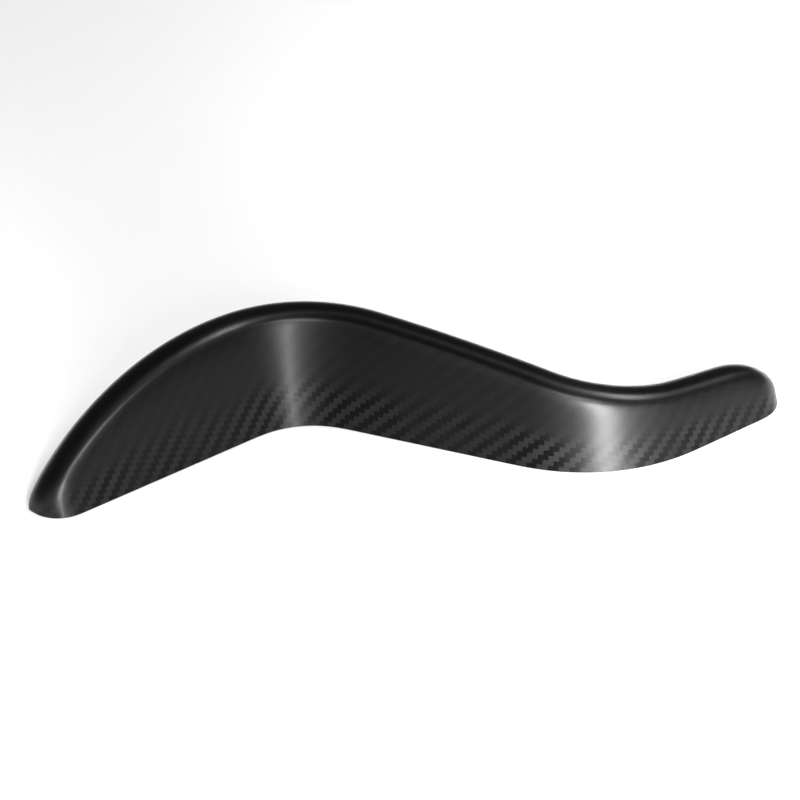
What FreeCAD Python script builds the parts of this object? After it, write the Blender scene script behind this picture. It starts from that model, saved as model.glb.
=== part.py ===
import FreeCAD, Part
import math
import os

# S-curved pull handle: a hollow cover that clips down over a carrier bolted to a panel.
# Origin: mouth of the middle threaded insert, on the panel plane. +Z points away from the
# panel, +X runs along the length of the handle, +Y points to the handle's steep back face.
# All sizes are millimetres and degrees.

# Plan of the front foot line, from the left nose to the right nose. The tip of each rounded
# end lies a share of the base width in from the front foot.
heading = 36.8
left_straight = 84.0
first_bend_radius = 35.0
first_bend_turn = -56.4
middle_straight = 73.5
second_bend_radius = 75.0
second_bend_turn = 55.7
right_straight = 36.0
left_nose_length = 14.3
right_nose_length = 15.0
tip_share = 0.62

# Height of the crest: four control heights spread evenly along the handle, and how far each
# rounded end takes to rise to full height
crest_heights = (32.0, 63.5, 24.5, 19.0)
left_rise_length = 95.0
right_rise_length = 24.7

# Cross-section
ridge_radius = 9.0
front_lean = 20.0
back_lean = 3.0

# Walls and clearances
skin_thickness = 0.6
skin_rim_lift = 0.3
bond_gap = 0.05
shell_thickness = 2.0
cover_gap = 0.8
carrier_wall = 2.4
rib_thickness = 2.0
rib_foot_lift = 1.0
rib_spacing = 24.0

# Snap-in blades under the cover and the spring clips that grip them
blade_stations = (46.0, 98.0, 150.0, 203.0, 257.0)
blade_length = 11.0
blade_thickness = 1.8
blade_depth = 15.0
well_length = 15.0
well_width = 7.0
well_wall = 1.6
well_clear = 1.5
clip_length = 9.0
clip_height = 11.0
clip_thickness = 0.5
clip_grip_gap = 0.15
clip_side_gap = 0.2

# Threaded inserts, the bosses that hold them and the foam washers under the bosses
insert_stations = (24.0, 124.0, 231.0)
insert_radius = 4.0
insert_length = 10.0
insert_bore_radius = 2.5
insert_groove_depth = 0.5
insert_groove_width = 2.0
insert_gap = 0.03
boss_wall = 2.2
washer_edge_gap = 0.2
washer_hole_gap = 0.6
washer_thickness = 1.0

# Felt buttons on the carrier that stop the cover rattling
felt_stations = (72.0, 176.0, 282.0)
felt_radius = 3.0
felt_thickness = 0.5
felt_height_share = 0.45

# Spacing of the rows of surface control points
row_step = 6.0
nose_rows = 7
ridge_rows = 7

FRONT = math.tan(math.radians(front_lean))
BACK = math.tan(math.radians(back_lean))
FRONT_LONG = math.hypot(1.0, FRONT)
BACK_LONG = math.hypot(1.0, BACK)
FIRST_ARC = first_bend_radius * math.radians(abs(first_bend_turn))
SECOND_ARC = second_bend_radius * math.radians(abs(second_bend_turn))
BODY = left_straight + FIRST_ARC + middle_straight + SECOND_ARC + right_straight
TOTAL = left_nose_length + BODY + right_nose_length
SHELL_INSET = skin_thickness + bond_gap
INNER_INSET = SHELL_INSET + shell_thickness
CARRIER_INSET = INNER_INSET + cover_gap
BOSS_RADIUS = insert_radius + boss_wall


def along_arc(start, angle, radius, turn, length):
    """Point and heading after going a length along a bend."""
    side = math.copysign(1.0, turn)
    after = angle + side * length / radius
    x = start[0] + side * radius * (math.sin(after) - math.sin(angle))
    y = start[1] - side * radius * (math.cos(after) - math.cos(angle))
    return (x, y), after


def along_line(start, angle, length):
    return (start[0] + length * math.cos(angle), start[1] + length * math.sin(angle)), angle


def foot_point(station):
    """Front foot point and heading, a distance along the foot line from the left nose."""
    point = (0.0, 0.0)
    angle = math.radians(heading)
    legs = (
        (left_straight, 0.0, 0.0),
        (FIRST_ARC, first_bend_radius, first_bend_turn),
        (middle_straight, 0.0, 0.0),
        (SECOND_ARC, second_bend_radius, second_bend_turn),
        (right_straight, 0.0, 0.0),
    )
    for length, radius, turn in legs:
        step = min(station, length)
        if radius:
            point, angle = along_arc(point, angle, radius, turn, step)
        else:
            point, angle = along_line(point, angle, step)
        station -= step
    return point, angle


def crest(run, inset):
    """Crest height at a run from the left tip, for a surface set in from the outside."""
    t = run / TOTAL
    weights = ((1 - t) ** 3, 3 * t * (1 - t) ** 2, 3 * t ** 2 * (1 - t), t ** 3)
    height = sum(w * h for w, h in zip(weights, crest_heights)) - inset
    side = inset * FRONT_LONG
    short_left = max(0.0, left_rise_length - run) / (left_rise_length - side)
    short_right = max(0.0, right_rise_length - (TOTAL - run)) / (right_rise_length - side)
    rise_left = math.sqrt(max(0.0, 1.0 - short_left ** 2))
    rise_right = math.sqrt(max(0.0, 1.0 - short_right ** 2))
    return height * rise_left * rise_right


def section_row(foot, angle, low, height, radius):
    """Control points of one cross-section, from the front foot over the ridge to the back."""
    centre_z = height - radius
    centre_y = FRONT * centre_z + radius * FRONT_LONG
    start = math.pi - math.atan(FRONT)
    end = math.atan(BACK)
    step = (start - end) / (ridge_rows - 1)
    reach = radius * 3.0 / (2.0 + math.cos(step))
    ridge = []
    for i in range(ridge_rows):
        turn = start - step * i
        ridge.append((centre_y + reach * math.cos(turn), centre_z + reach * math.sin(turn)))
    front_y = FRONT * ridge[0][1]
    back_foot_y = centre_y + radius * BACK_LONG + BACK * centre_z
    ridge[0] = (front_y, ridge[0][1])
    ridge[-1] = (back_foot_y - BACK * ridge[-1][1], ridge[-1][1])
    front = []
    back = []
    for i in range(4):
        front_z = low + (ridge[0][1] - low) * i / 4.0
        front.append((FRONT * front_z, front_z))
        back_z = low + (ridge[-1][1] - low) * i / 4.0
        back.insert(0, (back_foot_y - BACK * back_z, back_z))
    row = []
    for y, z in front + ridge + back:
        row.append(FreeCAD.Vector(foot[0] - y * math.sin(angle), foot[1] + y * math.cos(angle), z))
    return row


def ridge_offset(height):
    """Distance across the handle from the front foot to the middle of the ridge."""
    return FRONT * (height - ridge_radius) + ridge_radius * FRONT_LONG


def base_width(height):
    return ridge_offset(height) + ridge_radius * BACK_LONG + BACK * (height - ridge_radius)


def base_offset(height):
    """Distance across the handle from the front foot to the middle of the base."""
    return base_width(height) / 2.0


def nose_row(at_left, inset, low, turn):
    """Section on a rounded end: turn is 0 at the tip and a right angle at the straight."""
    end_station = 0.0 if at_left else BODY
    nose_length = left_nose_length if at_left else right_nose_length
    side = inset * FRONT_LONG
    ahead = (nose_length - side) * math.cos(turn) * (-1.0 if at_left else 1.0)
    depth = tip_share * base_width(crest(left_nose_length + end_station, 0.0))
    inward = depth - (depth - side) * math.sin(turn)
    base, angle = foot_point(end_station)
    x = base[0] + ahead * math.cos(angle) - inward * math.sin(angle)
    y = base[1] + ahead * math.sin(angle) + inward * math.cos(angle)
    height = crest(left_nose_length + end_station + ahead, inset) if turn else low
    radius = (ridge_radius - inset) * math.sin(turn)
    return section_row((x, y), angle, low, height, radius)


def skin_rows(inset, low):
    """Control net of the outer form, set in by a wall thickness, down to a rim at height low."""
    side = inset * FRONT_LONG
    quarter = math.pi / 2.0
    rows = [nose_row(True, inset, low, quarter * i / nose_rows) for i in range(nose_rows)]
    count = int(math.ceil(BODY / row_step))
    for i in range(count + 1):
        station = BODY * i / count
        point, angle = foot_point(station)
        foot = (point[0] - side * math.sin(angle), point[1] + side * math.cos(angle))
        height = crest(left_nose_length + station, inset)
        rows.append(section_row(foot, angle, low, height, ridge_radius - inset))
    for i in range(nose_rows - 1, -1, -1):
        rows.append(nose_row(False, inset, low, quarter * i / nose_rows))
    return rows


def clamped(count):
    """Knots and multiplicities of an even cubic spline that starts and ends on its poles."""
    knots = [float(i) for i in range(count - 2)]
    mults = [4] + [1] * (len(knots) - 2) + [4]
    return knots, mults


def skin_face(inset, low=0.0):
    rows = skin_rows(inset, low)
    u_knots, u_mults = clamped(len(rows))
    v_knots, v_mults = clamped(len(rows[0]))
    surface = Part.BSplineSurface()
    surface.buildFromPolesMultsKnots(rows, u_mults, v_mults, u_knots, v_knots, False, False, 3, 3)
    face = surface.toShape().Faces[0]
    face.translate(-ORIGIN)
    return face


def base_wire(face):
    """The loop of the two long foot edges that lie on the panel plane."""
    edges = [edge for edge in face.Edges if not edge.Degenerated]
    return Part.Wire(Part.__sortEdges__(edges))


def closed_solid(faces):
    shell = Part.Shell(faces)
    shell.sewShape()
    solid = Part.Solid(shell)
    if solid.Volume < 0:
        solid.reverse()
    return solid


def form_solid(inset):
    """The full form with nothing taken out, set in by a wall thickness."""
    skin = skin_face(inset)
    return closed_solid([skin, Part.Face(base_wire(skin))])


def hollow_form(outer_inset, inner_inset, low=0.0):
    """Open-bottomed shell between two insets, with a flat rim at height low."""
    outer = skin_face(outer_inset, low)
    inner = skin_face(inner_inset, low)
    outer_wire = base_wire(outer)
    inner_wire = base_wire(inner)
    inner_wire.reverse()
    inner.reverse()
    rim = Part.Face([outer_wire, inner_wire])
    rim.validate()
    return closed_solid([outer, inner, rim])


def local_frame(station, offset=ridge_offset):
    """Placement at a station: X along the handle, Y across it, Z up from the panel."""
    point, angle = foot_point(station)
    height = crest(left_nose_length + station, 0.0)
    across = offset(height)
    centre = FreeCAD.Vector(point[0] - across * math.sin(angle), point[1] + across * math.cos(angle), 0)
    spin = FreeCAD.Rotation(FreeCAD.Vector(0, 0, 1), math.degrees(angle))
    return FreeCAD.Placement(centre - ORIGIN, spin), height


def local_box(station, length, width, low, high):
    """Upright box under the ridge at a station."""
    box = Part.makeBox(length, width, high - low, FreeCAD.Vector(-length / 2, -width / 2, low))
    box.Placement = local_frame(station)[0]
    return box


def base_cylinder(station, radius, low, high):
    """Upright cylinder in the middle of the base at a station."""
    cylinder = Part.makeCylinder(radius, high - low, FreeCAD.Vector(0, 0, low))
    cylinder.Placement = local_frame(station, base_offset)[0]
    return cylinder


def blade_tip(station):
    """Height of a blade's lower end."""
    _, height = local_frame(station)
    return height - INNER_INSET - blade_depth


def well_floor(station):
    """Height of the floor the spring clip stands on."""
    return blade_tip(station) - clip_thickness - well_clear


def carbon_skin():
    """Outer laminate. Its rim stops just above the panel, so the shell's rim takes the load."""
    return hollow_form(0.0, skin_thickness, skin_rim_lift)


def cover_shell():
    shell = hollow_form(SHELL_INSET, INNER_INSET)
    blades = []
    for station in blade_stations:
        _, height = local_frame(station)
        blades.append(local_box(station, blade_length, blade_thickness, blade_tip(station), height))
    inside = Part.makeCompound(blades).common(form_solid(SHELL_INSET + shell_thickness / 2))
    return shell.fuse(inside.Solids)


def rib_boxes():
    boxes = []
    station = rib_spacing / 2
    while station < BODY:
        boxes.append(local_box(station, rib_thickness, 80.0, rib_foot_lift, 80.0))
        station += rib_spacing
    return boxes


def carrier():
    solids = rib_boxes()
    for station in blade_stations:
        length = well_length + 2 * well_wall
        width = well_width + 2 * well_wall
        solids.append(local_box(station, length, width, well_floor(station) - well_wall, 80.0))
    for station in insert_stations:
        solids.append(base_cylinder(station, BOSS_RADIUS, washer_thickness, 80.0))
    inner = solids[0].fuse(solids[1:])
    inner = inner.common(form_solid(CARRIER_INSET + carrier_wall / 2))
    body = hollow_form(CARRIER_INSET, CARRIER_INSET + carrier_wall).fuse(inner)
    holes = []
    for station in blade_stations:
        holes.append(local_box(station, well_length, well_width, well_floor(station), 80.0))
    for station in insert_stations:
        holes.append(base_cylinder(station, insert_radius + insert_gap, -1.0, insert_length + 1.0))
    return body.cut(holes)


def spring_clip(station):
    """U-shaped leaf spring: two legs that bow out, pinch the blade, then flare at the top."""
    half = clip_thickness / 2
    widest = well_width / 2 - clip_side_gap - half
    pinch = blade_thickness / 2 + clip_grip_gap + half
    heights = (clip_thickness, 0.3 * clip_height, 0.72 * clip_height, clip_height)
    middles = (widest - 0.6, widest, pinch, widest - 0.5)
    sides = []
    for side in (1.0, -1.0):
        outer = [FreeCAD.Vector(0, side * (m + half), z) for m, z in zip(middles, heights)]
        inner = [FreeCAD.Vector(0, side * (m - half), z) for m, z in zip(middles, heights)]
        sides.append((outer, inner))
    solids = []
    for outer, inner in sides:
        outer_edge = Part.BSplineCurve()
        outer_edge.interpolate(outer)
        inner_edge = Part.BSplineCurve()
        inner_edge.interpolate(inner)
        top = Part.LineSegment(outer[-1], inner[-1])
        bottom = Part.LineSegment(inner[0], outer[0])
        edges = [outer_edge.toShape(), top.toShape(), inner_edge.toShape(), bottom.toShape()]
        wire = Part.Wire(Part.__sortEdges__(edges))
        solids.append(Part.Face(wire).extrude(FreeCAD.Vector(clip_length, 0, 0)))
    foot = 2 * (middles[0] + half)
    web = Part.makeBox(clip_length, foot, clip_thickness, FreeCAD.Vector(0, -foot / 2, 0))
    clip = web.fuse(solids)
    clip.translate(FreeCAD.Vector(-clip_length / 2, 0, well_floor(station)))
    place, _ = local_frame(station)
    clip.Placement = place.multiply(clip.Placement)
    return clip


def threaded_insert(station):
    body = base_cylinder(station, insert_radius, 0.0, insert_length)
    low = (insert_length - insert_groove_width) / 2
    band = base_cylinder(station, insert_radius + 1, low, low + insert_groove_width)
    core = base_cylinder(station, insert_radius - insert_groove_depth, 0.0, insert_length)
    bore = base_cylinder(station, insert_bore_radius, -1.0, insert_length + 1)
    return body.cut(band.cut(core)).cut(bore)


def foam_washer(station):
    """Foam ring under a boss, trimmed where the carrier's walls come close."""
    ring = base_cylinder(station, BOSS_RADIUS - washer_edge_gap, 0.0, washer_thickness)
    ring = ring.cut(base_cylinder(station, insert_radius + washer_hole_gap, -1.0, washer_thickness + 1))
    return ring.common(WASHER_FORM)


def felt_pad(station, side):
    """Felt button glued to the carrier's front (side -1) or back (side 1) wall."""
    place, height = local_frame(station)
    level = felt_height_share * height
    start = FreeCAD.Vector(0, 0, level)
    pin = Part.makeCylinder(felt_radius, 60.0, start, FreeCAD.Vector(0, side, 0))
    pin.Placement = place
    return pin.common(FELT_FORM).cut(CARRIER_FORM)


def write_part(name, shape):
    shape = shape.removeSplitter()
    solids = shape.Solids
    if len(solids) == 1:
        shape = solids[0]
    shape.exportStep("parts/" + name + ".step")


ORIGIN = FreeCAD.Vector(0, 0, 0)
ORIGIN = local_frame(insert_stations[1], base_offset)[0].Base
FELT_FORM = form_solid(CARRIER_INSET - felt_thickness)
CARRIER_FORM = form_solid(CARRIER_INSET)
WASHER_FORM = form_solid(CARRIER_INSET + carrier_wall + washer_edge_gap)

os.makedirs("parts", exist_ok=True)
write_part("carbon_skin", carbon_skin())
write_part("cover_shell", cover_shell())
write_part("carrier", carrier())
for index, spot in enumerate(blade_stations):
    write_part("spring_clip_%d" % (index + 1), spring_clip(spot))
for index, spot in enumerate(insert_stations):
    write_part("threaded_insert_%d" % (index + 1), threaded_insert(spot))
    write_part("foam_washer_%d" % (index + 1), foam_washer(spot))
for index, spot in enumerate(felt_stations):
    write_part("felt_pad_front_%d" % (index + 1), felt_pad(spot, -1.0))
    write_part("felt_pad_back_%d" % (index + 1), felt_pad(spot, 1.0))
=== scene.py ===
import math

import bpy
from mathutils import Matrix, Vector


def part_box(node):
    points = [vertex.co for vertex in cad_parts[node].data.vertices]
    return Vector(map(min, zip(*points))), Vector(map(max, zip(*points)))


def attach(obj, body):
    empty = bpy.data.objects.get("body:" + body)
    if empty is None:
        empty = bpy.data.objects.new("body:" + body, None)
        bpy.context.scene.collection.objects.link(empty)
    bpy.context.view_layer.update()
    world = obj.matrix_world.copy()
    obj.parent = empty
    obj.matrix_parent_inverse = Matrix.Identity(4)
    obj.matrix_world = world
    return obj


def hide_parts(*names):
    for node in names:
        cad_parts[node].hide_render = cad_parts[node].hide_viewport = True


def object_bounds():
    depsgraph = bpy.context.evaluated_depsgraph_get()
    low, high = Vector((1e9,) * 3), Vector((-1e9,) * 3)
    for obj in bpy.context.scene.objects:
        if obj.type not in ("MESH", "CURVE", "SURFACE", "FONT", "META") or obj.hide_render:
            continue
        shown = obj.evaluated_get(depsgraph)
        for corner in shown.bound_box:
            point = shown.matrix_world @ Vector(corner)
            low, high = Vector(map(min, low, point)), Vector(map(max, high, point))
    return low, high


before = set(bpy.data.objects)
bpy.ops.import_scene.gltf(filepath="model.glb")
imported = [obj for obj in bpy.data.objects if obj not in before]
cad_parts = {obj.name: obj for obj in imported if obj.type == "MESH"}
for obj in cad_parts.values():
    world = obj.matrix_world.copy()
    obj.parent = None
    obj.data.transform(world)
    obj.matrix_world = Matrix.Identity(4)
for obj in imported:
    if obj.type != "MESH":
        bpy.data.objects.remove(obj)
cad_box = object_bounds()

# The outer form of the handle, in metres and degrees. It is the form of the CAD node
# carbon_skin, built here as an even grid so that the gloss has no facets in it.
# The foot of the front wall follows LEGS, each with its length, radius and turn. A straight
# leg has a length. A bend has a radius and a turn, which is positive to the left.
HEADING = 36.8
LEGS = (
    (0.084, 0.0, 0.0),
    (None, 0.035, -56.4),
    (0.0735, 0.0, 0.0),
    (None, 0.075, 55.7),
    (0.036, 0.0, 0.0),
)
# each nose reaches this far past the legs, and its tip lies back by a share of the base width
LEFT_NOSE = 0.0143
RIGHT_NOSE = 0.015
TIP_SHARE = 0.62
# heights of the ridge's four control points, and the lengths in which the ends rise to it
CREST = (0.032, 0.0635, 0.0245, 0.019)
LEFT_RISE = 0.095
RIGHT_RISE = 0.0247
# radius of the rounded ridge, and slopes of the leaning walls
RIDGE = 0.009
FRONT = math.tan(math.radians(20.0))
BACK = math.tan(math.radians(3.0))
# thickness of the laminate, and height of its rim above the base
SKIN = 0.0006
RIM = 0.0003
# width of one tow of the weave
TOW = 0.0020

# spacing of the surface's control points
ROW_PITCH = 0.006
NOSE_STEPS = 7
RIDGE_STEPS = 6
WALL_STEPS = 4
# edges that turn more sharply than this, such as the rim's, stay crisp
SHARP_EDGE = math.radians(50.0)

FRONT_LONG = math.hypot(1.0, FRONT)
BACK_LONG = math.hypot(1.0, BACK)
LENGTHS = [length if length else radius * math.radians(abs(turn)) for length, radius, turn in LEGS]
BODY = sum(LENGTHS)
TOTAL = LEFT_NOSE + BODY + RIGHT_NOSE


# ---------------------------------------------------------------- form of the carbon skin

def foot_point(station):
    """Place and heading of the front wall's foot at a distance along the legs."""
    x, y, angle = 0.0, 0.0, math.radians(HEADING)
    for (_, radius, turn), length in zip(LEGS, LENGTHS):
        step = min(station, length)
        if radius:
            side = math.copysign(1.0, turn)
            after = angle + side * step / radius
            x += side * radius * (math.sin(after) - math.sin(angle))
            y -= side * radius * (math.cos(after) - math.cos(angle))
            angle = after
        else:
            x += step * math.cos(angle)
            y += step * math.sin(angle)
        station -= step
    return x, y, angle


def crest(run, inset):
    """Height of the ridge at a distance from the left tip, for a surface set in by inset."""
    t = run / TOTAL
    weights = ((1 - t) ** 3, 3 * t * (1 - t) ** 2, 3 * t ** 2 * (1 - t), t ** 3)
    height = sum(w * h for w, h in zip(weights, CREST)) - inset
    side = inset * FRONT_LONG
    left = max(0.0, LEFT_RISE - run) / (LEFT_RISE - side)
    right = max(0.0, RIGHT_RISE - (TOTAL - run)) / (RIGHT_RISE - side)
    return height * math.sqrt(max(0.0, 1.0 - left ** 2)) * math.sqrt(max(0.0, 1.0 - right ** 2))


def base_width(height):
    return RIDGE * (FRONT_LONG + BACK_LONG) + (FRONT + BACK) * (height - RIDGE)


def section_poles(foot, angle, height, radius):
    """Control points of one section, from the front rim over the ridge to the back rim."""
    centre_z = height - radius
    centre_y = FRONT * centre_z + radius * FRONT_LONG
    start = math.pi - math.atan(FRONT)
    step = (start - math.atan(BACK)) / RIDGE_STEPS
    # control points of an even cubic spline lie this far out when the curve has the radius
    reach = radius * 3.0 / (2.0 + math.cos(step))
    ridge = []
    for i in range(RIDGE_STEPS + 1):
        turn = start - step * i
        ridge.append([centre_y + reach * math.cos(turn), centre_z + reach * math.sin(turn)])
    back_foot = centre_y + radius * BACK_LONG + BACK * centre_z
    ridge[0][0] = FRONT * ridge[0][1]
    ridge[-1][0] = back_foot - BACK * ridge[-1][1]
    front, back = [], []
    for i in range(WALL_STEPS):
        z = RIM + (ridge[0][1] - RIM) * i / WALL_STEPS
        front.append((FRONT * z, z))
        z = RIM + (ridge[-1][1] - RIM) * i / WALL_STEPS
        back.insert(0, (back_foot - BACK * z, z))
    row = []
    for y, z in front + ridge + back:
        row.append(Vector((foot[0] - y * math.sin(angle), foot[1] + y * math.cos(angle), z)))
    return row


def nose_poles(end, nose, way, inset, i):
    """Control row i of a nose, counted from its tip. The nose lies past the station end."""
    turn = math.pi / 2 * i / NOSE_STEPS
    side = inset * FRONT_LONG
    x, y, angle = foot_point(end)
    ahead = way * (nose - side) * math.cos(turn)
    depth = TIP_SHARE * base_width(crest(LEFT_NOSE + end, 0.0))
    inward = depth - (depth - side) * math.sin(turn)
    foot = (x + ahead * math.cos(angle) - inward * math.sin(angle),
            y + ahead * math.sin(angle) + inward * math.cos(angle))
    height = crest(LEFT_NOSE + end + ahead, inset) if i else RIM
    return section_poles(foot, angle, height, (RIDGE - inset) * math.sin(turn))


def skin_poles(inset):
    """Control rows of the whole surface, from the left tip to the right tip."""
    side = inset * FRONT_LONG
    rows = [nose_poles(0.0, LEFT_NOSE, -1.0, inset, i) for i in range(NOSE_STEPS)]
    count = math.ceil(BODY / ROW_PITCH)
    for i in range(count + 1):
        x, y, angle = foot_point(BODY * i / count)
        foot = (x - side * math.sin(angle), y + side * math.cos(angle))
        height = crest(LEFT_NOSE + BODY * i / count, inset)
        rows.append(section_poles(foot, angle, height, RIDGE - inset))
    for i in reversed(range(NOSE_STEPS)):
        rows.append(nose_poles(BODY, RIGHT_NOSE, 1.0, inset, i))
    return rows


def spline_weights(count, samples):
    """Clamped even cubic spline: for each sample, the first pole and its four weights."""
    knots = [0.0] * 3 + [float(i) for i in range(count - 2)] + [count - 3.0] * 3
    result = []
    for sample in range(samples + 1):
        t = (count - 3) * sample / samples
        span = min(int(t), count - 4)
        basis = [1.0, 0.0, 0.0, 0.0]
        knot = span + 3
        for degree in range(1, 4):
            saved = 0.0
            for i in range(degree):
                right = knots[knot + i + 1]
                left = knots[knot + 1 - degree + i]
                part = basis[i] / (right - left)
                basis[i] = saved + (right - t) * part
                saved = (t - left) * part
            basis[degree] = saved
        result.append((span, basis))
    return result


def blend_rows(rows, weights):
    """New rows, each a weighted sum of four neighbouring rows."""
    out = []
    for first, basis in weights:
        row = []
        for column in range(len(rows[0])):
            point = Vector((0.0, 0.0, 0.0))
            for i in range(4):
                point += rows[first + i][column] * basis[i]
            row.append(point)
        out.append(row)
    return out


def skin_grid(inset, fineness):
    """Points of the surface, with so many grid cells to each span of control points."""
    poles = skin_poles(inset)
    along = blend_rows(poles, spline_weights(len(poles), (len(poles) - 3) * fineness))
    flipped = [list(column) for column in zip(*along)]
    count = len(flipped)
    across = blend_rows(flipped, spline_weights(count, (count - 3) * fineness))
    return [list(row) for row in zip(*across)]


def build_skin():
    """The laminate: an outer and an inner surface, joined along both rims."""
    fineness = 4
    outer = skin_grid(0.0, fineness)
    inner = skin_grid(SKIN, fineness)
    rows, columns = len(outer), len(outer[0])
    low = Vector((min(p.x for row in outer for p in row), min(p.y for row in outer for p in row), RIM))
    move = Vector(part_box("carbon_skin")[0]) - low
    points, faces = [], []
    for grid in (outer, inner):
        for row in grid:
            points.extend(p + move for p in row)

    def at(layer, i, j):
        return (layer * rows + i) * columns + j

    last = columns - 1
    for i in range(rows - 1):
        for j in range(last):
            faces.append((at(0, i, j), at(0, i + 1, j), at(0, i + 1, j + 1), at(0, i, j + 1)))
            faces.append((at(1, i, j), at(1, i, j + 1), at(1, i + 1, j + 1), at(1, i + 1, j)))
    for i in range(rows - 1):
        faces.append((at(0, i + 1, 0), at(0, i, 0), at(1, i, 0), at(1, i + 1, 0)))
        faces.append((at(0, i, last), at(0, i + 1, last), at(1, i + 1, last), at(1, i, last)))
    mesh = bpy.data.meshes.new("carbon_cover")
    mesh.from_pydata(points, [], faces)
    weave_layout(mesh, outer, rows, columns)
    mesh.shade_smooth()
    mesh.set_sharp_from_angle(angle=SHARP_EDGE)
    made = bpy.data.objects.new("carbon_cover", mesh)
    bpy.context.scene.collection.objects.link(made)
    return made


def weave_layout(mesh, outer, rows, columns):
    """UV cloth is in metres: U along the handle, V up the front wall and over the ridge.
    UV girth is the share of the way over, from 0 at the front rim to 1 at the back rim.
    U is measured from the middle outwards, along one line on the front wall. Round the noses
    each column is measured on its own."""
    measured = int(columns * 0.16)
    nose_reach = 1.6
    first, last = 0, rows - 1
    for i in range(rows):
        if (outer[i][0] - outer[0][0]).length < LEFT_NOSE * nose_reach:
            first = i
        if (outer[-1 - i][0] - outer[-1][0]).length < RIGHT_NOSE * nose_reach:
            last = rows - 1 - i
    middle = rows // 2
    along = [[0.0] * columns for _ in range(rows)]
    for ends, step in ((range(middle + 1, rows), -1), (range(middle - 1, -1, -1), 1)):
        for i in ends:
            nose = i > last or i < first
            for j in range(columns):
                column = j if nose else measured
                move = (outer[i][column] - outer[i + step][column]).length
                along[i][j] = along[i + step][j] - step * move
    up = [[0.0] * columns for _ in range(rows)]
    for i in range(rows):
        for j in range(1, columns):
            up[i][j] = up[i][j - 1] + (outer[i][j] - outer[i][j - 1]).length
    cloth = mesh.uv_layers.new(name="cloth")
    girth = mesh.uv_layers.new(name="girth")
    for loop in mesh.loops:
        index = loop.vertex_index % (rows * columns)
        i, j = divmod(index, columns)
        cloth.data[loop.index].uv = (along[i][j], up[i][j])
        girth.data[loop.index].uv = (up[i][j] / up[i][-1], 0.0)


# ---------------------------------------------------------------- materials

def rgb(red, green=None, blue=None):
    """Colour with its alpha. A value that isn't given repeats the one before it."""
    green = red if green is None else green
    return (red, green, green if blue is None else blue, 1.0)


class Nodes:
    """Short way to write a material's node tree. A value that is a node or a socket is
    linked, and a plain value is set on the input."""

    def __init__(self, name):
        self.material = bpy.data.materials.new(name)
        self.material.use_nodes = True
        self.tree = self.material.node_tree
        self.tree.nodes.clear()

    def add(self, kind, inputs=None, **settings):
        node = self.tree.nodes.new(kind)
        for key, value in settings.items():
            setattr(node, key, value)
        for key, value in (inputs or {}).items():
            socket = node.inputs[key]
            if isinstance(value, bpy.types.NodeSocket):
                self.tree.links.new(value, socket)
            elif isinstance(value, bpy.types.Node):
                self.tree.links.new(value.outputs[0], socket)
            else:
                socket.default_value = value
        return node

    def math(self, operation, first, second=0.0, third=None):
        inputs = {0: first, 1: second}
        if third is not None:
            inputs[2] = third
        return self.add("ShaderNodeMath", inputs, operation=operation)

    def mix(self, factor, first, second):
        """Blend of two colours."""
        return self.add("ShaderNodeMix", {0: factor, 6: first, 7: second}, data_type="RGBA").outputs[2]

    def choose(self, factor, first, second):
        """Blend of two numbers."""
        return self.add("ShaderNodeMix", {0: factor, 2: first, 3: second}, data_type="FLOAT").outputs[0]

    def ramp(self, factor, low, high, start, end, kind="LINEAR"):
        """Takes low..high to start..end, and holds the end values outside it."""
        inputs = {0: factor, 1: low, 2: high, 3: start, 4: end}
        return self.add("ShaderNodeMapRange", inputs, interpolation_type=kind).outputs[0]

    def noise(self, vector, scale, detail=4.0, roughness=0.5):
        inputs = {"Vector": vector, "Scale": scale, "Detail": detail, "Roughness": roughness}
        return self.add("ShaderNodeTexNoise", inputs).outputs[0]

    def streaks(self, vector, scale, detail, roughness=0.5, rotation=(0.0, 0.0, 0.0)):
        """Noise with a scale for each axis, drawn out along the axes with the small scales."""
        inputs = {0: vector, "Scale": scale, "Rotation": rotation}
        stretched = self.add("ShaderNodeMapping", inputs).outputs[0]
        return self.noise(stretched, 1.0, detail, roughness)

    def bump(self, height, distance, strength):
        inputs = {"Height": height, "Distance": distance, "Strength": strength}
        return self.add("ShaderNodeBump", inputs).outputs[0]

    def uv(self, name):
        return self.add("ShaderNodeUVMap", uv_map=name).outputs[0]

    def object_place(self):
        return self.add("ShaderNodeTexCoord").outputs["Object"]

    def output(self, shader):
        self.add("ShaderNodeOutputMaterial", {"Surface": shader.outputs[0]})
        return self.material


def weave_patches_and_painted_glare(nodes, cloth):
    """How plainly the weave shows, from 0 to 1. It fades over the ridge as painted glare, standing in
    for the reflection that washes the weave out there, and it is patchy elsewhere."""
    share = nodes.add("ShaderNodeSeparateXYZ", {0: nodes.uv("girth")}).outputs[0]
    ragged = nodes.noise(cloth, 25.0, 3.0)
    share = nodes.math("MULTIPLY_ADD", ragged, 0.10, nodes.math("SUBTRACT", share, 0.05))
    # painted glare: over the ridge, between these shares of the way over, the weave fades out
    rise = nodes.ramp(share, 0.12, 0.24, 0.0, 0.88, "SMOOTHSTEP")
    fall = nodes.ramp(share, 0.76, 0.88, 1.0, 0.0, "SMOOTHSTEP")
    weave_left_by_painted_glare = nodes.math("SUBTRACT", 1.0, nodes.math("MULTIPLY", rise, fall))
    patches = nodes.ramp(nodes.noise(cloth, 32.0, 3.0), 0.38, 0.60, 0.35, 1.0)
    return nodes.math("MULTIPLY", weave_left_by_painted_glare, patches)


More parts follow.
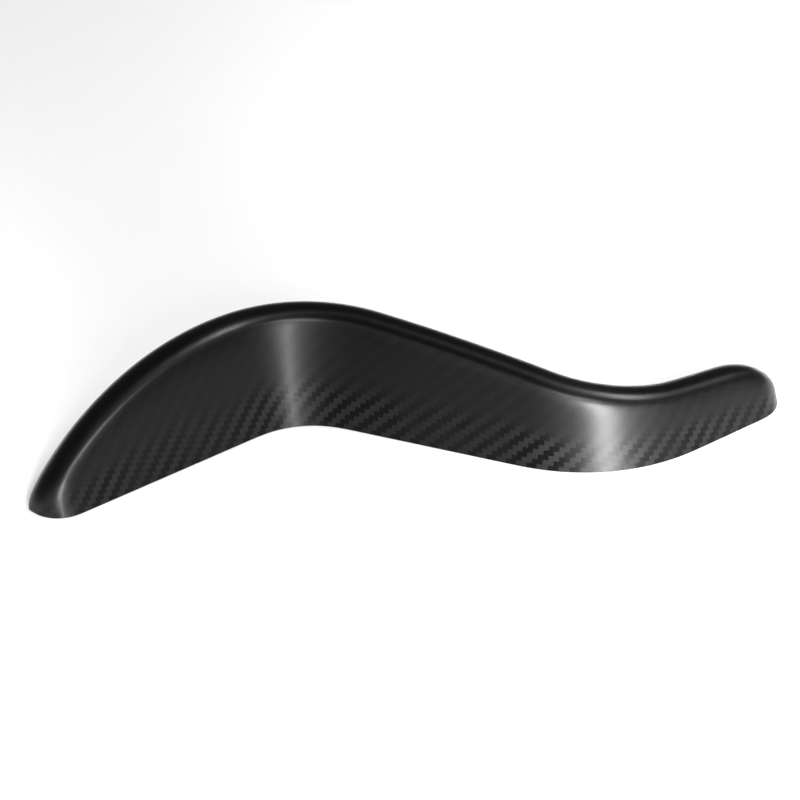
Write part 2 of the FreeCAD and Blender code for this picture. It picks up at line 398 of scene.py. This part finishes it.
def carbon_material():
    """2 x 2 twill of carbon tows under a satin clear coat, with painted sheen on the weft tows."""
    nodes = Nodes("carbon_twill")
    cloth = nodes.uv("cloth")
    split = nodes.add("ShaderNodeSeparateXYZ", {0: cloth})
    # cloth never lies quite straight: the tows wander by a small part of their width
    drift = nodes.math("MULTIPLY_ADD", nodes.noise(cloth, 60.0, 2.0), 0.0007, -0.00035)
    u = nodes.math("DIVIDE", nodes.math("ADD", split.outputs[0], drift), TOW)
    v = nodes.math("DIVIDE", nodes.math("ADD", split.outputs[1], drift), TOW)
    # each tow goes over two and under two, one step further on in the next row
    phase = nodes.math("SUBTRACT", nodes.math("FLOOR", u), nodes.math("FLOOR", v))
    weft_up = nodes.math("LESS_THAN", nodes.math("FLOORED_MODULO", phase, 4.0), 2.0)
    # the tow on top is highest along its middle
    u_in = nodes.math("SUBTRACT", nodes.math("FRACT", u), 0.5)
    v_in = nodes.math("SUBTRACT", nodes.math("FRACT", v), 0.5)
    across = nodes.math("ABSOLUTE", nodes.choose(weft_up, u_in, v_in))
    crown = nodes.math("SUBTRACT", 1.0, nodes.math("MULTIPLY", nodes.math("POWER", across, 2.0), 4.0))
    # the fibres of the weft run along U, and those of the warp along V
    fibre_u = nodes.streaks(cloth, (300.0, 9000.0, 1.0), 2.0)
    fibre_v = nodes.streaks(cloth, (9000.0, 300.0, 1.0), 2.0)
    fibre = nodes.choose(weft_up, fibre_v, fibre_u)
    relief = nodes.math("ADD", nodes.math("MULTIPLY", crown, 0.6), nodes.math("MULTIPLY", fibre, 0.15))
    # the weave fades over the ridge as painted glare, and in random patches elsewhere
    weave = weave_patches_and_painted_glare(nodes, cloth)
    cloth_normal = nodes.bump(nodes.math("MULTIPLY", relief, weave), 0.00008, 0.5)
    shown = nodes.math("MULTIPLY_ADD", nodes.math("SUBTRACT", weft_up, 0.5), weave, 0.5)
    # painted sheen: the weft tows are painted lighter than the warp, standing in for the brighter sheen
    # on the tows along U; the warp is the shaded copy
    warp_painted_shade = nodes.mix(nodes.noise(cloth, 35.0, 3.0), rgb(0.0004), rgb(0.0007))
    weft_painted_sheen = nodes.mix(fibre, rgb(0.0010, 0.0011), rgb(0.0018, 0.0019))
    colour = nodes.mix(shown, warp_painted_shade, weft_painted_sheen)
    # clear coat: fine orange peel, a slow ripple and a trace of the tows below
    place = nodes.object_place()
    peel = nodes.math("MULTIPLY", nodes.noise(place, 620.0, 2.0), 0.55)
    coat_relief = nodes.math("ADD", peel, nodes.noise(place, 55.0, 2.0))
    coat_relief = nodes.math("ADD", coat_relief, nodes.math("MULTIPLY", crown, 0.30))
    coat_normal = nodes.bump(coat_relief, 0.00006, 0.4)
    # warp and weft stretch their highlights a quarter turn apart, and the weft is glossier
    tangent = nodes.add("ShaderNodeTangent", direction_type="UV_MAP", uv_map="cloth").outputs[0]
    tows = []
    for turn, gloss in ((0.25, 0.06), (0.0, 0.26)):
        tows.append(nodes.add("ShaderNodeBsdfPrincipled", {
            "Base Color": colour, "Metallic": 0.2, "Roughness": 0.40, "IOR": 1.5,
            "Anisotropic": 0.85, "Anisotropic Rotation": turn, "Tangent": tangent,
            "Specular IOR Level": gloss, "Coat Weight": 1.0, "Coat Roughness": 0.27, "Coat IOR": 1.26,
            "Normal": cloth_normal, "Coat Normal": coat_normal}))
    return nodes.output(nodes.add("ShaderNodeMixShader", {0: shown, 1: tows[0], 2: tows[1]}))


def plastic_material(name, colours, grain_scale, grain_depth, roughness, specks=0.0):
    """Moulded plastic with a leathery grain, uneven gloss and optional glass-fibre specks."""
    nodes = Nodes(name)
    place = nodes.object_place()
    colour = nodes.mix(nodes.noise(place, 45.0, 4.0), *colours)
    cells = nodes.add("ShaderNodeTexVoronoi", {"Vector": place, "Scale": grain_scale},
                      feature="DISTANCE_TO_EDGE")
    grain = nodes.noise(place, grain_scale * 1.7, 3.0, 0.6)
    if specks:
        glint = nodes.streaks(place, (900.0, 2600.0, 1700.0), 2.0, rotation=(0.4, 0.3, 0.7))
        colour = nodes.mix(nodes.ramp(glint, 0.60, 0.76, 0.0, specks), colour, rgb(0.42, 0.42, 0.43))
    relief = nodes.math("ADD", nodes.ramp(cells.outputs[0], 0.0, 0.16, 0.0, 1.0), grain)
    wear = nodes.noise(place, 130.0, 5.0, 0.65)
    return nodes.output(nodes.add("ShaderNodeBsdfPrincipled", {
        "Base Color": colour, "Roughness": nodes.ramp(wear, 0.3, 0.7, *roughness),
        "IOR": 1.5, "Specular IOR Level": 0.42,
        "Normal": nodes.bump(relief, grain_depth, 0.8)}))


def steel_material():
    """Rolled spring strip with a thin grey zinc-flake coat and rolling lines."""
    nodes = Nodes("spring_strip")
    place = nodes.object_place()
    rolled = nodes.streaks(place, (250.0, 250.0, 9000.0), 3.0)
    flakes = nodes.add("ShaderNodeTexVoronoi", {"Vector": place, "Scale": 2600.0})
    stain = nodes.noise(place, 240.0, 5.0, 0.6)
    coat = nodes.mix(flakes, rgb(0.34, 0.335, 0.32), rgb(0.56, 0.555, 0.54))
    colour = nodes.mix(nodes.ramp(stain, 0.55, 0.75, 0.0, 0.6), coat, rgb(0.22, 0.20, 0.17))
    return nodes.output(nodes.add("ShaderNodeBsdfPrincipled", {
        "Base Color": colour, "Metallic": 1.0, "Roughness": nodes.ramp(rolled, 0.3, 0.7, 0.26, 0.48),
        "Anisotropic": 0.5, "Normal": nodes.bump(rolled, 0.00003, 0.6)}))


def brass_material():
    """Turned brass with fine lathe rings and the crossing lines of a knurl."""
    nodes = Nodes("knurled_brass")
    place = nodes.object_place()
    split = nodes.add("ShaderNodeSeparateXYZ", {0: place})
    diagonal = nodes.math("ADD", split.outputs[0], split.outputs[1])
    lines = []
    for way in ("ADD", "SUBTRACT"):
        slant = nodes.math(way, diagonal, split.outputs[2])
        lines.append(nodes.math("SINE", nodes.math("MULTIPLY", slant, 7500.0)))
    knurl = nodes.math("MULTIPLY", *lines)
    rings = nodes.streaks(place, (60.0, 60.0, 6000.0), 2.0)
    tarnish = nodes.noise(place, 320.0, 5.0, 0.65)
    stained = nodes.ramp(tarnish, 0.42, 0.72, 0.0, 1.0)
    colour = nodes.mix(stained, rgb(0.80, 0.58, 0.26), rgb(0.46, 0.29, 0.12))
    relief = nodes.math("ADD", nodes.math("MULTIPLY", knurl, 0.5), rings)
    return nodes.output(nodes.add("ShaderNodeBsdfPrincipled", {
        "Base Color": colour, "Metallic": 1.0, "Roughness": nodes.ramp(tarnish, 0.3, 0.7, 0.2, 0.42),
        "Normal": nodes.bump(relief, 0.00006, 0.5)}))


def foam_material():
    """Open-cell foam: a net of tiny cells, with painted shade in the holes."""
    nodes = Nodes("open_cell_foam")
    place = nodes.object_place()
    cells = nodes.add("ShaderNodeTexVoronoi", {"Vector": place, "Scale": 1500.0},
                      feature="DISTANCE_TO_EDGE")
    net_and_painted_hole_shade = nodes.ramp(cells.outputs[0], 0.02, 0.22, 1.0, 0.0)
    fine = nodes.noise(place, 2600.0, 3.0)
    # painted shade: the holes between the strands are painted near black
    colour = nodes.mix(net_and_painted_hole_shade, rgb(0.010, 0.010, 0.011), rgb(0.085, 0.085, 0.09))
    relief = nodes.math("ADD", net_and_painted_hole_shade, nodes.math("MULTIPLY", fine, 0.3))
    return nodes.output(nodes.add("ShaderNodeBsdfPrincipled", {
        "Base Color": colour, "Roughness": nodes.ramp(fine, 0.3, 0.7, 0.82, 0.98),
        "Specular IOR Level": 0.2, "Sheen Weight": 0.15, "Normal": nodes.bump(relief, 0.00025, 0.9)}))


def felt_material():
    """Pressed felt: matted crossing fibres with a soft sheen."""
    nodes = Nodes("pressed_felt")
    place = nodes.object_place()
    one = nodes.streaks(place, (900.0, 5200.0, 2400.0), 4.0, 0.6, rotation=(0.3, 0.8, 0.5))
    other = nodes.streaks(place, (5200.0, 900.0, 2400.0), 4.0, 0.6, rotation=(0.9, 0.2, 1.9))
    mat = nodes.math("ADD", one, other)
    patch = nodes.noise(place, 400.0, 3.0)
    lit = nodes.ramp(mat, 0.7, 1.3, 0.0, 1.0)
    colour = nodes.mix(lit, rgb(0.035, 0.035, 0.040), rgb(0.15, 0.15, 0.16))
    return nodes.output(nodes.add("ShaderNodeBsdfPrincipled", {
        "Base Color": colour, "Roughness": nodes.ramp(patch, 0.3, 0.7, 0.85, 1.0),
        "Specular IOR Level": 0.15, "Sheen Weight": 0.5, "Sheen Roughness": 0.5,
        "Normal": nodes.bump(mat, 0.00030, 0.9)}))


carbon = carbon_material()
looks = {
    "cover_shell": plastic_material(
        "grained_abs", (rgb(0.010, 0.010, 0.011), rgb(0.020, 0.020, 0.022)),
        900.0, 0.00006, (0.38, 0.58)),
    "carrier": plastic_material(
        "glass_nylon", (rgb(0.045, 0.046, 0.048), rgb(0.085, 0.086, 0.088)),
        620.0, 0.00004, (0.45, 0.68), specks=0.35),
    "spring_clip": steel_material(),
    "threaded_insert": brass_material(),
    "foam_washer": foam_material(),
    "felt_pad": felt_material(),
}
for name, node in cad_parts.items():
    for start, material in looks.items():
        if name.startswith(start):
            node.data.materials.clear()
            node.data.materials.append(material)

cover = build_skin()
cover.data.materials.append(carbon)
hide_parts("carbon_skin")
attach(cover, "cover")


# ---------------------------------------------------------------- floor, light and camera

FLOOR_SIZE = 14.0
FLOOR_GAP = 0.0002
ROOM_GLOW = 0.10
CAMERA_ELEVATION = math.radians(36.0)
CAMERA_DISTANCE = 1.4
CAMERA_LENS = 157.0
SENSOR_WIDTH = 36.0
# from the middle of the handle's box to the point that the camera looks at
LOOK_OFFSET = Vector((-0.0042, 0.0315, -0.0221))

centre = (cad_box[0] + cad_box[1]) / 2
WHITE = rgb(1.0)


def floor():
    """Matt white floor, which glows a little so that the background is white."""
    place = (centre.x, centre.y, cad_box[0].z - FLOOR_GAP)
    bpy.ops.mesh.primitive_plane_add(size=FLOOR_SIZE, location=place)
    plane = bpy.context.object
    plane.name = "studio_floor"
    nodes = Nodes("pale_floor")
    shader = nodes.add("ShaderNodeBsdfPrincipled", {
        "Base Color": rgb(0.62), "Roughness": 1.0, "Specular IOR Level": 0.0,
        "Emission Color": WHITE, "Emission Strength": 0.40})
    plane.data.materials.append(nodes.output(shader))


def look_back(item, away):
    """Turns a lamp or the camera to look back along the direction away, and links it."""
    item.rotation_mode = "QUATERNION"
    item.rotation_quaternion = (-away).to_track_quat("-Z", "Y")
    bpy.context.scene.collection.objects.link(item)


def softbox(name, azimuth, elevation, distance, size, power, target=centre, spread=180.0):
    """Area light aimed at the target. Azimuth 0 is the camera's side, 90 the right."""
    turn, rise = math.radians(azimuth), math.radians(elevation)
    away = Vector((math.sin(turn) * math.cos(rise), -math.cos(turn) * math.cos(rise), math.sin(rise)))
    data = bpy.data.lights.new(name, "AREA")
    data.shape = "RECTANGLE"
    data.size, data.size_y = size
    data.energy = power
    data.spread = math.radians(spread)
    lamp = bpy.data.objects.new(name, data)
    lamp.location = target + away * distance
    lamp.visible_camera = False
    look_back(lamp, away)


floor()
# a tall window and a wider, weaker one draw the bright lines down both bends
right_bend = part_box("spring_clip_5")[0]
softbox("front_window", 15.0, 19.0, 1.5, (0.62, 1.15), 5.2, target=right_bend)
softbox("front_wide", 15.0, 19.0, 1.55, (1.15, 1.10), 3.5, target=right_bend)
# two columns of small near lights lift the bright lines on the right bend and the left nose.
# Their beams are narrow and aimed to the outer side of the line, away from the left bend.
beside_bend = right_bend + Vector((0.068, 0.030, 0.0))
left_nose = Vector((cad_box[0].x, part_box("threaded_insert_1")[0].y, 0.0))
beside_nose = left_nose + Vector((-0.084, -0.020, 0.0))
for step in range(3):
    rise = 15.0 * step
    softbox("bend_glow_%d" % step, 14.0, rise, 0.7, (0.28, 0.18), 0.27, target=beside_bend, spread=24.0)
    softbox("nose_glow_%d" % step, 16.0, rise, 0.7, (0.16, 0.18), 0.12, target=beside_nose, spread=20.0)
# two strips draw the lines along the ridge
softbox("front_high", 15.0, 50.0, 1.2, (0.55, 0.16), 6.5)
softbox("back_strip", 107.0, 59.0, 1.2, (0.45, 0.14), 8.0)

world = bpy.data.worlds.new("studio")
world.use_nodes = True
background = world.node_tree.nodes["Background"]
background.inputs["Color"].default_value = WHITE
background.inputs["Strength"].default_value = ROOM_GLOW
bpy.context.scene.world = world
# this view transform keeps the white floor white
bpy.context.scene.view_settings.view_transform = "Standard"

camera_data = bpy.data.cameras.new("photo_camera")
camera_data.lens = CAMERA_LENS
camera_data.sensor_width = SENSOR_WIDTH
camera = bpy.data.objects.new("photo_camera", camera_data)
back = Vector((0.0, -math.cos(CAMERA_ELEVATION), math.sin(CAMERA_ELEVATION)))
camera.location = centre + LOOK_OFFSET + back * CAMERA_DISTANCE
look_back(camera, back)
bpy.context.scene.camera = camera
